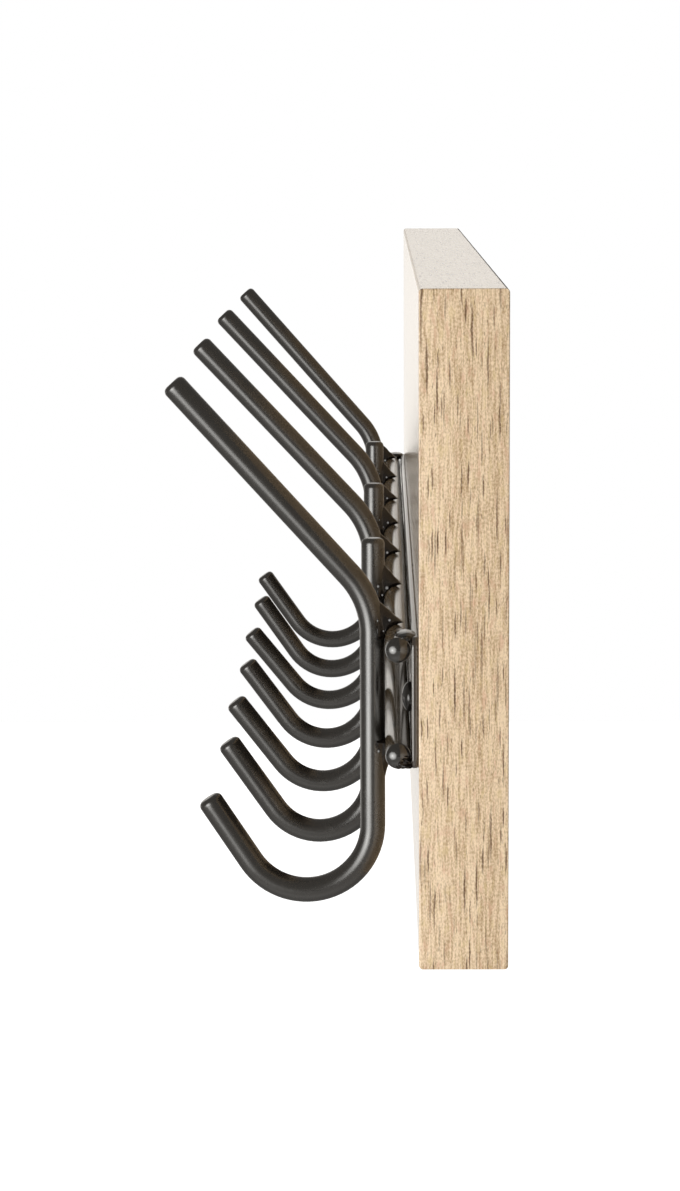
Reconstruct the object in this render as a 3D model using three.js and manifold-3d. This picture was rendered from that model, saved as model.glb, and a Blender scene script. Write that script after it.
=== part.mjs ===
import * as THREE from "three";
import { mergeVertices } from "three/addons/utils/BufferGeometryUtils.js";
import Module from "manifold-3d";

// A wall coat rack: seven wire hooks welded across two rods, the rods welded to a flat strip,
// and the strip screwed to an oak-look board that hangs on the wall by two keyhole plates.
// Millimetres. X runs along the board, the front faces -Y and Z is up.
// The origin is the middle of the board's back face, which lies on the wall.

const wasm = await Module();
wasm.setup();

// Clearances
const seatGap = 0.2;
const cutGap = 0.3;
const cutOverrun = 1;

// Board
const boardLength = 440;
const boardHeight = 137;
const boardThickness = 18;
const decorThickness = 0.4;
const edgeBandThickness = 1;
const boardEdgeRadius = 0.8;

// Strip
const stripThickness = 1.3;
const stripEndInset = 14;
const stripLip = 0.1;
const stripCornerRadius = 2;
const rowDrop = 16.5;

// Wire and rods
const wireDiameter = 5.1;
const wireEndChamfer = 0.6;
const rodSpacing = 21.9;
const rodDomeHeight = 1.7;

// Hooks
const hookCount = 7;
const hookEndMargin = 34;
const hookDrop = 43;
const hookBendRadius = 12.8;
const hookTipLength = 18.6;
const armCornerRise = 20;
const armBendRadius = 18.5;
const armReach = 61.5;
const stubRise = 24.6;

// Degrees: the tip leans out from the wire by the first, and the arm leans forward by the second
const hookTipAngle = 36;
const armAngle = 43;

// The hooks are bent by hand, so each has its own shares of those sizes and angles
const hookBendShares = [
  { drop: 1.019, radius: 1.063, tip: 0.984, angle: 0.981 },
  { drop: 1.016, radius: 1.008, tip: 1.022, angle: 0.975 },
  { drop: 1, radius: 1, tip: 1.027, angle: 1.092 },
  { drop: 1.002, radius: 0.984, tip: 1.005, angle: 1.017 },
  { drop: 0.998, radius: 0.977, tip: 1.038, angle: 1.053 },
  { drop: 0.995, radius: 0.961, tip: 1.022, angle: 0.978 },
  { drop: 0.998, radius: 1.094, tip: 0.871, angle: 0.933 },
];
const armBendShares = [
  { rise: 1, radius: 0.865, angle: 0.963 },
  { rise: 1.035, radius: 1.07, angle: 1.002 },
  { rise: 1.005, radius: 1.054, angle: 1.007 },
  { rise: 0.94, radius: 0.984, angle: 0.986 },
];

// Weld beads
const upperBeadRise = 8.2;
const lowerBeadRise = 10.2;
const beadReachPastRod = 1.2;
const beadToeRise = 2.9;
const beadLip = 0.3;
const beadHalfWidth = 3.9;
const rodBeadHalfLength = 5;
const rodBeadRadius = 1.6;
const rodBeadSink = 1;

// Strip screws
const stripScrewEndInset = 10;
const innerScrewAfterHook = 2;
const panHeadRadius = 3.1;
const panHeadHeight = 2;
const panHeadRimHeight = 0.5;
const stripScrewRadius = 1.6;
const stripScrewLength = 14;
const screwTipLength = 3;
const recessLength = 3.2;
const recessWidth = 0.9;
const recessDepth = 1.1;

// Keyhole plates
const hangerEndInset = 60;
const hangerTopInset = 23.5;
const hangerWidth = 44;
const hangerHeight = 18;
const hangerThickness = 1.5;
const hangerCornerRadius = 3;
const keyholeRadius = 4.6;
const keyholeSlotRadius = 2.3;
const keyholeMargin = 0.65;
const keyholePocketDepth = 9.5;
const keyholePocketMargin = 1.6;
const hangerScrewInset = 6;
const hangerScrewRadius = 1.5;
const hangerScrewHeadRadius = 2.9;
const hangerScrewHeadHeight = 1.3;
const hangerScrewLength = 12;

// Facets
const wireSides = 16;
const screwSides = 16;
const armBendSteps = 6;
const hookBendSteps = 12;
const domeSteps = 3;
const cornerSteps = 3;
const keyholeSteps = 5;
const beadSteps = 4;
const beadSides = 12;

// Worked out from the sizes above
const wireRadius = wireDiameter / 2;
const faceLength = boardLength - 2 * edgeBandThickness;
const faceHeight = boardHeight - 2 * edgeBandThickness;
const coreThickness = boardThickness - 2 * decorThickness;
const stripLength = boardLength - 2 * stripEndInset;
const stripHeight = rodSpacing + wireDiameter + 2 * stripLip;
const rodDepth = stripThickness + seatGap + wireRadius;
const crossStep = wireDiameter + seatGap;
const hookDepth = rodDepth + crossStep;
const hookPitch = (boardLength - 2 * hookEndMargin) / (hookCount - 1);
const stripScrewHoleRadius = stripScrewRadius + cutGap;
const hangerPlace = boardLength / 2 - hangerEndInset;
const hangerLevel = boardHeight / 2 - hangerTopInset;
const hangerScrewSpacing = hangerWidth - 2 * hangerScrewInset;
const keyholeTravel = hangerHeight - 2 * (keyholeRadius + keyholeMargin);
const keyholeLevel = -keyholeTravel / 2;
const hangerScrewHoleRadius = hangerScrewRadius + cutGap;

const oakDecor = { color: 0xd0ac80, roughness: 0.45, metalness: 0 };
const chipboard = { color: 0xb9986c, roughness: 0.9, metalness: 0 };
const blackCoat = { color: 0x2b2825, roughness: 0.45, metalness: 0.2 };
const blackScrew = { color: 0x1f1d1b, roughness: 0.3, metalness: 0.5 };
const zincSteel = { color: 0xb4b7ba, roughness: 0.35, metalness: 1 };

const rack = new THREE.Group();
const boardGroup = new THREE.Group();
const rowGroup = new THREE.Group();
boardGroup.position.set(0, -boardThickness / 2, 0);
rowGroup.position.set(0, -boardThickness, -rowDrop);
rack.add(boardGroup, rowGroup);

// A closed geometry becomes a solid that can be joined and cut
function solidOf(geometry) {
  const bare = geometry.clone();
  bare.deleteAttribute("normal");
  bare.deleteAttribute("uv");
  const merged = mergeVertices(bare);
  const corners = merged.index.array;
  const kept = [];
  for (let i = 0; i < corners.length; i += 3) {
    const [a, b, c] = corners.slice(i, i + 3);
    if (a !== b && b !== c && c !== a) kept.push(a, b, c);
  }
  const mesh = new wasm.Mesh({
    numProp: 3,
    vertProperties: new Float32Array(merged.attributes.position.array),
    triVerts: new Uint32Array(kept),
  });
  return new wasm.Manifold(mesh);
}

function geometryOf(solid) {
  const mesh = solid.getMesh();
  const geometry = new THREE.BufferGeometry();
  geometry.setAttribute("position", new THREE.BufferAttribute(mesh.vertProperties, 3));
  geometry.setIndex(new THREE.BufferAttribute(mesh.triVerts, 1));
  geometry.computeVertexNormals();
  return geometry;
}

function addPiece(group, name, solid, finish, place = [0, 0, 0]) {
  const mesh = new THREE.Mesh(geometryOf(solid), new THREE.MeshStandardMaterial(finish));
  mesh.name = name;
  mesh.position.set(...place);
  group.add(mesh);
  return mesh;
}

function box(length, depth, height, place = [0, 0, 0]) {
  return solidOf(new THREE.BoxGeometry(length, depth, height).translate(...place));
}

function lathe(points, sides) {
  const profile = points.map(([radius, height]) => new THREE.Vector2(radius, height));
  return new THREE.LatheGeometry(profile, sides);
}

// A round bar along Y, between two depths
function pinAlongY(radius, low, high, x, z, sides = screwSides) {
  const geometry = new THREE.CylinderGeometry(radius, radius, high - low, sides);
  return solidOf(geometry.translate(x, (low + high) / 2, z));
}

// An outline drawn in X and Z becomes a plate with its back face at y = 0
function plate(outline, thickness, steps = cornerSteps) {
  const geometry = new THREE.ExtrudeGeometry(outline, {
    depth: thickness,
    bevelEnabled: false,
    curveSegments: steps,
  });
  return geometry.rotateX(Math.PI / 2);
}

// A rectangle about the middle, with a radius for its upper corners and one for its lower
function roundedOutline(width, height, upperRadius, lowerRadius) {
  const right = width / 2;
  const top = height / 2;
  const quarter = Math.PI / 2;
  const outline = new THREE.Shape();
  const corner = (x, y, radius, turn) => {
    if (radius > 0) outline.absarc(x, y, radius, turn, turn + quarter);
    else outline.lineTo(x, y);
  };
  outline.moveTo(right, 0);
  corner(right - upperRadius, top - upperRadius, upperRadius, 0);
  corner(upperRadius - right, top - upperRadius, upperRadius, quarter);
  corner(lowerRadius - right, lowerRadius - top, lowerRadius, 2 * quarter);
  corner(right - lowerRadius, lowerRadius - top, lowerRadius, 3 * quarter);
  return outline;
}

function hookPlace(index) {
  return (index - (hookCount - 1) / 2) * hookPitch;
}

function stripScrewPlaces() {
  const outer = stripLength / 2 - stripScrewEndInset;
  const inner = (hookPlace(innerScrewAfterHook - 1) + hookPlace(innerScrewAfterHook)) / 2;
  return [-outer, inner, -inner, outer];
}

// Board: a chipboard core faced front and back, with bands round its edges

function edgeBand(length) {
  const outline = roundedOutline(boardThickness, edgeBandThickness, boardEdgeRadius, 0);
  const geometry = new THREE.ExtrudeGeometry(outline, {
    depth: length,
    bevelEnabled: false,
    curveSegments: cornerSteps,
  });
  geometry.translate(0, 0, -length / 2);
  geometry.rotateX(Math.PI / 2);
  return geometry.rotateZ(Math.PI / 2).rotateX(Math.PI);
}

function endBand() {
  const outline = roundedOutline(boardThickness, boardHeight, boardEdgeRadius, boardEdgeRadius);
  const band = plate(outline, edgeBandThickness).translate(0, edgeBandThickness / 2, 0);
  return solidOf(band.rotateZ(Math.PI / 2));
}

// Where a keyhole plate lies flush in the back, with room behind for the wall screw's head
function hangerPocket(x) {
  const back = boardThickness / 2;
  const width = hangerWidth + 2 * cutGap;
  const height = hangerHeight + 2 * cutGap;
  const radius = hangerCornerRadius + cutGap;
  const seatOutline = roundedOutline(width, height, radius, radius);
  const seat = plate(seatOutline, hangerThickness + cutGap + cutOverrun);
  const deepRadius = keyholeRadius + keyholePocketMargin;
  const deepOutline = roundedOutline(
    2 * deepRadius,
    keyholeTravel + 2 * deepRadius,
    deepRadius,
    deepRadius,
  );
  const deep = plate(deepOutline, keyholePocketDepth + cutOverrun, keyholeSteps);
  const pocket = solidOf(seat).add(solidOf(deep));
  const moved = geometryOf(pocket).translate(x, back + cutOverrun, hangerLevel);
  return solidOf(moved);
}

function boardCuts() {
  const front = -boardThickness / 2;
  const screwEnd = front + stripScrewLength - stripThickness + cutGap;
  const holes = stripScrewPlaces().map((x) =>
    pinAlongY(stripScrewHoleRadius, front - cutOverrun, screwEnd, x, -rowDrop),
  );
  const back = boardThickness / 2;
  for (const side of [-1, 1]) {
    const x = side * hangerPlace;
    holes.push(hangerPocket(x));
    for (const offset of [-hangerScrewSpacing / 2, hangerScrewSpacing / 2]) {
      const low = back - hangerScrewLength - cutGap;
      holes.push(pinAlongY(hangerScrewHoleRadius, low, back, x + offset, hangerLevel));
    }
  }
  return holes;
}

function cutAll(solid, cutters) {
  return cutters.reduce((left, cutter) => left.subtract(cutter), solid);
}

function addBoard() {
  const cuts = boardCuts();
  const sheetPlace = (coreThickness + decorThickness) / 2;
  const core = box(faceLength, coreThickness, faceHeight);
  const front = box(faceLength, decorThickness, faceHeight, [0, -sheetPlace, 0]);
  const back = box(faceLength, decorThickness, faceHeight, [0, sheetPlace, 0]);
  addPiece(boardGroup, "board_core", cutAll(core, cuts), chipboard);
  addPiece(boardGroup, "front_decor_sheet", cutAll(front, cuts), oakDecor);
  addPiece(boardGroup, "back_decor_sheet", cutAll(back, cuts), oakDecor);
  const bandLevel = (boardHeight - edgeBandThickness) / 2;
  const upper = edgeBand(faceLength);
  const lower = upper.clone().rotateX(Math.PI);
  addPiece(boardGroup, "top_edge_band", solidOf(upper), oakDecor, [0, 0, bandLevel]);
  addPiece(boardGroup, "bottom_edge_band", solidOf(lower), oakDecor, [0, 0, -bandLevel]);
  const bandPlace = (boardLength - edgeBandThickness) / 2;
  addPiece(boardGroup, "left_end_band", endBand(), oakDecor, [-bandPlace, 0, 0]);
  addPiece(boardGroup, "right_end_band", endBand(), oakDecor, [bandPlace, 0, 0]);
}

// Strip and rods

function strip() {
  const outline = roundedOutline(stripLength, stripHeight, stripCornerRadius, stripCornerRadius);
  const front = -stripThickness - cutOverrun;
  const holes = stripScrewPlaces().map((x) =>
    pinAlongY(stripScrewHoleRadius, front, cutOverrun, x, 0),
  );
  return cutAll(solidOf(plate(outline, stripThickness)), holes);
}

// The domed end's outline, from the rod's side to its axis
function dome(radius, base, height) {
  const points = [];
  for (let step = 0; step <= domeSteps; step++) {
    const turn = (step / domeSteps) * (Math.PI / 2);
    points.push([radius * Math.cos(turn), base + height * Math.sin(turn)]);
  }
  points[domeSteps][0] = 0;
  return points;
}

function rod() {
  const half = stripLength / 2 - rodDomeHeight;
  const end = dome(wireRadius, half, rodDomeHeight);
  const start = end.map(([radius, height]) => [radius, -height]).reverse();
  return solidOf(lathe([...start, ...end], wireSides).rotateZ(-Math.PI / 2));
}

// Hooks: a wire bent in one upright plane, walked from the row's middle line

class WireLine extends THREE.Curve {
  constructor(stations) {
    super();
    this.stations = stations;
  }

  getPoint(share, target = new THREE.Vector3()) {
    const last = this.stations.length - 1;
    const reach = share * last;
    const index = Math.min(Math.floor(reach), last - 1);
    const { place } = this.stations[index];
    return target.lerpVectors(place, this.stations[index + 1].place, reach - index);
  }

  getPointAt(share, target) {
    return this.getPoint(share, target);
  }

  getTangentAt(share, target = new THREE.Vector3()) {
    const index = Math.round(share * (this.stations.length - 1));
    return target.copy(this.stations[index].heading);
  }
}

// Turn 0 heads up, a quarter turn heads to the front and a half turn heads down
function headingAt(turn) {
  return new THREE.Vector3(0, -Math.sin(turn), Math.cos(turn));
}

function bentWire(turn, firstRun, bendRadius, bend, bendSteps, lastRun) {
  const stations = [];
  const place = headingAt(turn).multiplyScalar(firstRun);
  const inward = headingAt(turn + (Math.sign(bend) * Math.PI) / 2);
  const centre = place.clone().addScaledVector(inward, bendRadius);
  for (let step = 0; step <= bendSteps; step++) {
    const now = turn + (bend * step) / bendSteps;
    const outward = headingAt(now - (Math.sign(bend) * Math.PI) / 2);
    const point = centre.clone().addScaledVector(outward, bendRadius);
    stations.push({ place: point, heading: headingAt(now) });
  }
  const heading = headingAt(turn + bend);
  const tip = stations[bendSteps].place.clone().addScaledVector(heading, lastRun);
  stations.push({ place: tip, heading });
  return stations;
}

function lowerHalf(share) {
  const bend = THREE.MathUtils.degToRad(hookTipAngle * share.angle) - Math.PI;
  const radius = hookBendRadius * share.radius;
  const straight = hookDrop * share.drop - radius;
  return bentWire(Math.PI, straight, radius, bend, hookBendSteps, hookTipLength * share.tip);
}

function upperArm(share) {
  const bend = THREE.MathUtils.degToRad(armAngle * share.angle);
  const radius = armBendRadius * share.radius;
  const cornerRun = radius * Math.tan(bend / 2);
  const straight = armCornerRise * share.rise - cornerRun;
  return bentWire(0, straight, radius, bend, armBendSteps, armReach - cornerRun);
}

function stub() {
  return [{ place: new THREE.Vector3(0, 0, stubRise), heading: headingAt(0) }];
}

function turnedBack(stations) {
  const turned = stations.map(({ place, heading }) => ({
    place,
    heading: heading.clone().negate(),
  }));
  return turned.reverse();
}

// The ring that takes the sharp edge off a wire's end
function endCutter(place, outward) {
  const inner = wireRadius - wireEndChamfer - cutOverrun;
  const outer = wireRadius + cutOverrun;
  const ring = lathe(
    [
      [inner, cutOverrun],
      [outer, -wireEndChamfer - cutOverrun],
      [outer, cutOverrun],
      [inner, cutOverrun],
    ],
    wireSides,
  );
  const turn = new THREE.Quaternion().setFromUnitVectors(new THREE.Vector3(0, 1, 0), outward);
  return solidOf(ring.applyQuaternion(turn).translate(place.x, place.y, place.z));
}

function tube(stations, radius) {
  const section = new THREE.Shape().absarc(0, 0, radius, 0, 2 * Math.PI);
  const geometry = new THREE.ExtrudeGeometry(section, {
    steps: stations.length - 1,
    curveSegments: wireSides / 2,
    extrudePath: new WireLine(stations),
  });
  return solidOf(geometry);
}

function wire(stations) {
  const first = stations[0];
  const last = stations[stations.length - 1];
  const cutters = [
    endCutter(first.place, first.heading.clone().negate()),
    endCutter(last.place, last.heading),
  ];
  return cutAll(tube(stations, wireRadius), cutters);
}

// Weld beads

function roundBarAlongX(radius, length, y, z) {
  const bar = new THREE.CylinderGeometry(radius, radius, length, wireSides);
  return solidOf(bar.rotateZ(Math.PI / 2).translate(0, y, z));
}

function ellipsoid(halfX, halfY, halfZ, y, z) {
  const ball = new THREE.SphereGeometry(1, beadSides, beadSides / 2);
  return solidOf(ball.scale(halfX, halfY, halfZ).translate(0, y, z));
}

// The fillet in the corner over a rod, behind a hook's wire, about the rod's middle. The wire is
// given by its line from the row's middle, and the rod by its level over that middle
function hookBead(rise, line, rodLevel) {
  const reach = crossStep + beadReachPastRod;
  const lip = wireRadius + beadLip;
  const flank = [];
  for (let step = 0; step <= beadSteps; step++) {
    const turn = (step / beadSteps) * (Math.PI / 2);
    const radius = reach - (reach - lip) * Math.sin(turn);
    flank.push([radius, rise - (rise - beadToeRise) * Math.cos(turn)]);
  }
  const bellProfile = [[0, 0], [reach, 0], ...flank, [0, rise]];
  const bell = lathe(bellProfile, beadSides).rotateX(Math.PI / 2).translate(0, -crossStep, 0);
  const halfDepth = (crossStep + beadReachPastRod) / 2 + beadLip;
  const blob = ellipsoid(beadHalfWidth, halfDepth, rise, beadReachPastRod - halfDepth, 0);
  const cutWidth = 2 * (beadHalfWidth + cutOverrun);
  const rodCut = roundBarAlongX(wireRadius + seatGap, cutWidth, 0, 0);
  const wireCut = tube(line, wireRadius + seatGap).translate([0, -crossStep, -rodLevel]);
  return cutAll(solidOf(bell).intersect(blob), [rodCut, wireCut]);
}

// The short bead in the corner between a rod and the strip, about the strip's face over the rod
function rodBead() {
  const radius = rodBeadRadius;
  const level = wireRadius - rodBeadSink;
  const blob = ellipsoid(rodBeadHalfLength, radius, radius, -rodBeadSink, level);
  const cutLength = 2 * (rodBeadHalfLength + cutOverrun);
  const cutHeight = 2 * (wireRadius + rodBeadRadius + cutOverrun);
  const rodCut = roundBarAlongX(wireRadius + seatGap, cutLength, stripThickness - rodDepth, 0);
  const stripCut = box(cutLength, wireDiameter, cutHeight, [0, wireRadius - seatGap, 0]);
  return cutAll(blob, [rodCut, stripCut]);
}

function addHookRow() {
  addPiece(rowGroup, "mounting_strip", strip(), blackCoat);
  const rodSolid = rod();
  const levels = { upper: rodSpacing / 2, lower: -rodSpacing / 2 };
  for (const [level, z] of Object.entries(levels)) {
    addPiece(rowGroup, `${level}_rod`, rodSolid, blackCoat, [0, -rodDepth, z]);
  }
  const start = { place: new THREE.Vector3(), heading: headingAt(0) };
  const lowerBead = hookBead(lowerBeadRise, [start, ...stub()], levels.upper);
  for (let index = 0; index < hookCount; index++) {
    const isDouble = index % 2 === 0;
    const name = `${isDouble ? "double" : "single"}_hook_${index + 1}`;
    const x = hookPlace(index);
    const above = isDouble ? upperArm(armBendShares[index / 2]) : stub();
    const hook = wire([...turnedBack(above), ...lowerHalf(hookBendShares[index])]);
    addPiece(rowGroup, name, hook, blackCoat, [x, -hookDepth, 0]);
    const upperBead = hookBead(upperBeadRise, [start, ...above], levels.upper);
    const overRod = [x, -rodDepth, levels.upper];
    const underRod = [x, -rodDepth, levels.lower];
    addPiece(rowGroup, `hook_weld_${index + 1}_upper`, upperBead, blackCoat, overRod);
    const under = addPiece(rowGroup, `hook_weld_${index + 1}_lower`, lowerBead, blackCoat, underRod);
    under.rotation.y = Math.PI;
  }
  const rodWeld = rodBead();
  const weldPlace = stripLength / 2 - rodBeadHalfLength;
  for (const [side, sign] of Object.entries({ left: -1, right: 1 })) {
    const place = [sign * weldPlace, -stripThickness, levels.upper];
    addPiece(rowGroup, `rod_weld_upper_${side}`, rodWeld, blackCoat, place);
    const under = addPiece(rowGroup, `rod_weld_lower_${side}`, rodWeld, blackCoat, place);
    under.position.z = levels.lower;
    under.rotation.y = Math.PI;
  }
}

// Screws

function crossRecess(top) {
  const height = recessDepth + cutOverrun;
  const level = top + cutOverrun - height / 2;
  const along = box(recessLength, height, recessWidth, [0, level, 0]);
  return along.add(box(recessWidth, height, recessLength, [0, level, 0]));
}

// A screw stands on its tip along Y, with its head's seat or rim at y = 0
function screw(shankRadius, length, headPoints, headTop) {
  const shank = [[0, -length], [shankRadius, screwTipLength - length]];
  const geometry = lathe([...shank, ...headPoints], screwSides);
  return solidOf(geometry).subtract(crossRecess(headTop));
}

function panHeadScrew() {
  const crown = dome(panHeadRadius, panHeadRimHeight, panHeadHeight - panHeadRimHeight);
  const head = [[stripScrewRadius, 0], [panHeadRadius, 0], ...crown];
  return screw(stripScrewRadius, stripScrewLength, head, panHeadHeight);
}

function countersunkScrew() {
  const head = [[hangerScrewRadius, -hangerScrewHeadHeight], [hangerScrewHeadRadius, 0], [0, 0]];
  return screw(hangerScrewRadius, hangerScrewLength, head, 0);
}

function addStripScrews() {
  const solid = panHeadScrew();
  stripScrewPlaces().forEach((x, index) => {
    const place = [x, -stripThickness, 0];
    const mesh = addPiece(rowGroup, `strip_screw_${index + 1}`, solid, blackScrew, place);
    mesh.rotation.x = Math.PI;
  });
}

// Keyhole plates

function keyhole() {
  const side = Math.acos(keyholeSlotRadius / keyholeRadius);
  const path = new THREE.Path();
  path.absarc(0, keyholeLevel, keyholeRadius, Math.PI - side, 2 * Math.PI + side);
  path.absarc(0, keyholeLevel + keyholeTravel, keyholeSlotRadius, 0, Math.PI);
  path.closePath();
  return path;
}

// A hole that widens to the plate's back face for a flush screw head
function countersink(x) {
  const wall = hangerScrewHoleRadius;
  const mouth = hangerScrewHeadRadius + cutGap;
  const slope = (mouth - wall) / hangerScrewHeadHeight;
  const profile = [
    [0, -hangerThickness - cutOverrun],
    [wall, -hangerThickness - cutOverrun],
    [wall, -hangerScrewHeadHeight],
    [mouth + slope * cutOverrun, cutOverrun],
    [0, cutOverrun],
  ];
  return solidOf(lathe(profile, screwSides).translate(x, 0, 0));
}

function hangerPlate() {
  const outline = roundedOutline(hangerWidth, hangerHeight, hangerCornerRadius, hangerCornerRadius);
  outline.holes.push(keyhole());
  const holes = [countersink(-hangerScrewSpacing / 2), countersink(hangerScrewSpacing / 2)];
  return cutAll(solidOf(plate(outline, hangerThickness, keyholeSteps)), holes);
}

function addHangers() {
  const plateSolid = hangerPlate();
  const screwSolid = countersunkScrew();
  const back = boardThickness / 2;
  for (const [side, sign] of Object.entries({ left: -1, right: 1 })) {
    const x = sign * hangerPlace;
    addPiece(boardGroup, `hanger_plate_${side}`, plateSolid, zincSteel, [x, back, hangerLevel]);
    for (const [rank, step] of Object.entries({ outer: sign, inner: -sign })) {
      const place = [x + (step * hangerScrewSpacing) / 2, back, hangerLevel];
      addPiece(boardGroup, `hanger_screw_${side}_${rank}`, screwSolid, zincSteel, place);
    }
  }
}

addBoard();
addHookRow();
addStripScrews();
addHangers();

export default rack;
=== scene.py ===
from math import acos, asin, copysign, cos, degrees, pi, radians, sin, sqrt, tan

import bmesh
import bpy
from mathutils import Matrix, Vector, noise


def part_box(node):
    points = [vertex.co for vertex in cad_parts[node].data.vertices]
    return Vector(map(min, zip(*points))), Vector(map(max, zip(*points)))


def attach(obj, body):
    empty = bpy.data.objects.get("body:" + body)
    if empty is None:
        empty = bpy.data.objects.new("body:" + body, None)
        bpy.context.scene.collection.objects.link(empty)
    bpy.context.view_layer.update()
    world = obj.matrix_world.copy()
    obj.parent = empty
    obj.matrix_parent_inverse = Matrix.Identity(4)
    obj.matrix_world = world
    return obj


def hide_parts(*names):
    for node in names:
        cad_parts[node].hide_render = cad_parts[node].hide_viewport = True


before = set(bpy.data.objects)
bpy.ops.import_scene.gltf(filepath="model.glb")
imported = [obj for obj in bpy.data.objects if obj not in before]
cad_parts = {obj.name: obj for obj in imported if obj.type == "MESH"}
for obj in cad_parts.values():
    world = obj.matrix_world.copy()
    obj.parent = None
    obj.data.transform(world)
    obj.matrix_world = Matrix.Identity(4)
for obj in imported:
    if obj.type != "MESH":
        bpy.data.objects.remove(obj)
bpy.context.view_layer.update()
mm = 0.001
scene = bpy.context.scene
print("frame loaded")


def addObject(name, data):
    item = bpy.data.objects.new(name, data)
    scene.collection.objects.link(item)
    return item


# shader nodes

def feed(tree, value, socket):
    # a value is either another node's output or a constant
    if isinstance(value, bpy.types.NodeSocket):
        tree.links.new(value, socket)
    else:
        socket.default_value = value


def feedAll(tree, node, values):
    for label, value in values.items():
        feed(tree, value, node.inputs[label])


def addNode(tree, kind, values=None, **settings):
    # the values' keys are socket names or numbers
    node = tree.nodes.new("ShaderNode" + kind)
    for name, value in settings.items():
        setattr(node, name, value)
    feedAll(tree, node, values or {})
    return node


def compute(tree, operation, total, *others, clamp=False):
    # works through the values from left to right
    for value in others or (0,):
        total = addNode(tree, "Math", {0: total, 1: value}, operation=operation,
                        use_clamp=clamp).outputs[0]
    return total


def multiply(tree, *values):
    return compute(tree, "MULTIPLY", *values)


def addUp(tree, *parts):
    # the sum of some values, each times its weight
    return compute(tree, "ADD", *(multiply(tree, *part) for part in parts))


def rampTo(tree, value, low, high, outLow=0.0, outHigh=1.0, kind="SMOOTHSTEP"):
    values = {"Value": value, "From Min": low, "From Max": high, "To Min": outLow,
              "To Max": outHigh}
    return addNode(tree, "MapRange", values, interpolation_type=kind).outputs["Result"]


def mixColors(tree, share, a, b):
    # a colour mix node has its share in socket 0, its two colours in 6 and 7, its result in 2
    return addNode(tree, "Mix", {0: share, 6: a, 7: b}, data_type="RGBA").outputs[2]


def movePoint(tree, operation, point, values):
    return addNode(tree, "VectorMath", {0: point, 1: values}, operation=operation).outputs[0]


def splitAxes(tree, point):
    return addNode(tree, "SeparateXYZ", {0: point}).outputs


def noiseOf(tree, point, scale=1.0, detail=2.0, roughness=0.5):
    values = {"Vector": point, "Scale": scale, "Detail": detail, "Roughness": roughness}
    return addNode(tree, "TexNoise", values).outputs["Fac"]


def cellsOf(tree, point, dimensions="3D"):
    # the distance to each cell's middle, and three random numbers for each cell
    cells = addNode(tree, "TexVoronoi", {"Vector": point, "Scale": 1},
                    voronoi_dimensions=dimensions)
    return cells.outputs["Distance"], addNode(tree, "SeparateColor",
                                              {0: cells.outputs["Color"]}).outputs


def bumpOf(tree, height, strength, distance):
    values = {"Strength": strength, "Distance": distance, "Height": height}
    return addNode(tree, "Bump", values).outputs["Normal"]


def newGroup(name, inputs):
    # a surface's pattern, from a point and some values to its colour, roughness and height
    tree = bpy.data.node_groups.new(name, "ShaderNodeTree")
    outputs = {"Color": "Color", "Roughness": "Float", "Height": "Float"}
    for side, sockets in (("INPUT", inputs), ("OUTPUT", outputs)):
        for label, kind in sockets.items():
            tree.interface.new_socket(label, in_out=side, socket_type="NodeSocket" + kind)
    return tree, tree.nodes.new("NodeGroupInput").outputs, tree.nodes.new("NodeGroupOutput")


# camera, lights, floor

view = {
    "place": (902.55 * mm, -25.48 * mm, 98.55 * mm),
    "aim": (0, -36.31 * mm, -21.57 * mm),
    "roll": -0.2157,
    "sensor": 36,
    "focalPixels": 3463,
    "photoHeight": 1191,
    "nearClip": 0.01,
}

studio = {
    "ambientBelow": 0.90,
    "ambientAbove": 0.345,
    "ambientColor": (1.0, 0.99, 0.975, 1),
    # the mirrored backdrop is paler at its foot, and ends in a dimmer room
    "horizon": (-0.05, 0.01),
    "footGloss": 1.09,
    "backdropGloss": 0.99,
    "backdropEdge": (-0.97, -0.80),
    "roomGloss": 0.26,
    "mirroredColor": (1.0, 0.965, 0.915, 1),
    "keyTurn": 35,
    "keyRise": -5,
    "keyDistance": 1.5,
    "keyColor": (0.98, 0.99, 1.0),
    # the softbox is brightest in its middle: width, height and watts of its layers
    "keyLayers": ((1.24, 1.18, 10.4), (0.86, 0.78, 2.8), (0.46, 0.38, 0.7), (0.17, 0.15, 0.3)),
    "keyLayerGap": 0.01,
    "floorDrop": 1.25,
    "floorSize": 14,
    "floorRoughness": 0.9,
    "floorColor": (0.86, 0.86, 0.86, 1),
    "floorGlow": 0.92,
    # where the mirrored floor's paint changes, and how pale it is behind the rack and before it:
    # painted light, seen only in reflections
    "mirroredFloorEdge": (-0.3, 1.2),
    "mirroredFloor": (0.40, 0.98),
    # where its glow fades from the backdrop's foot to the dimmer near side
    "floorFade": (-4, -2),
    "farFloorGloss": 0.86,
    "nearFloorGloss": 0.08,
}


def placeCamera():
    data = bpy.data.cameras.new("photoCamera")
    data.sensor_fit = "VERTICAL"
    data.sensor_height = view["sensor"]
    data.lens = view["sensor"] * view["focalPixels"] / view["photoHeight"]
    data.clip_start = view["nearClip"]
    camera = addObject("photoCamera", data)
    place = Vector(view["place"])
    toAim = (Vector(view["aim"]) - place).to_track_quat("-Z", "Y").to_matrix()
    turn = toAim @ Matrix.Rotation(radians(view["roll"]), 3, "Z")
    camera.matrix_world = Matrix.Translation(place) @ turn.to_4x4()
    scene.camera = camera


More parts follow.
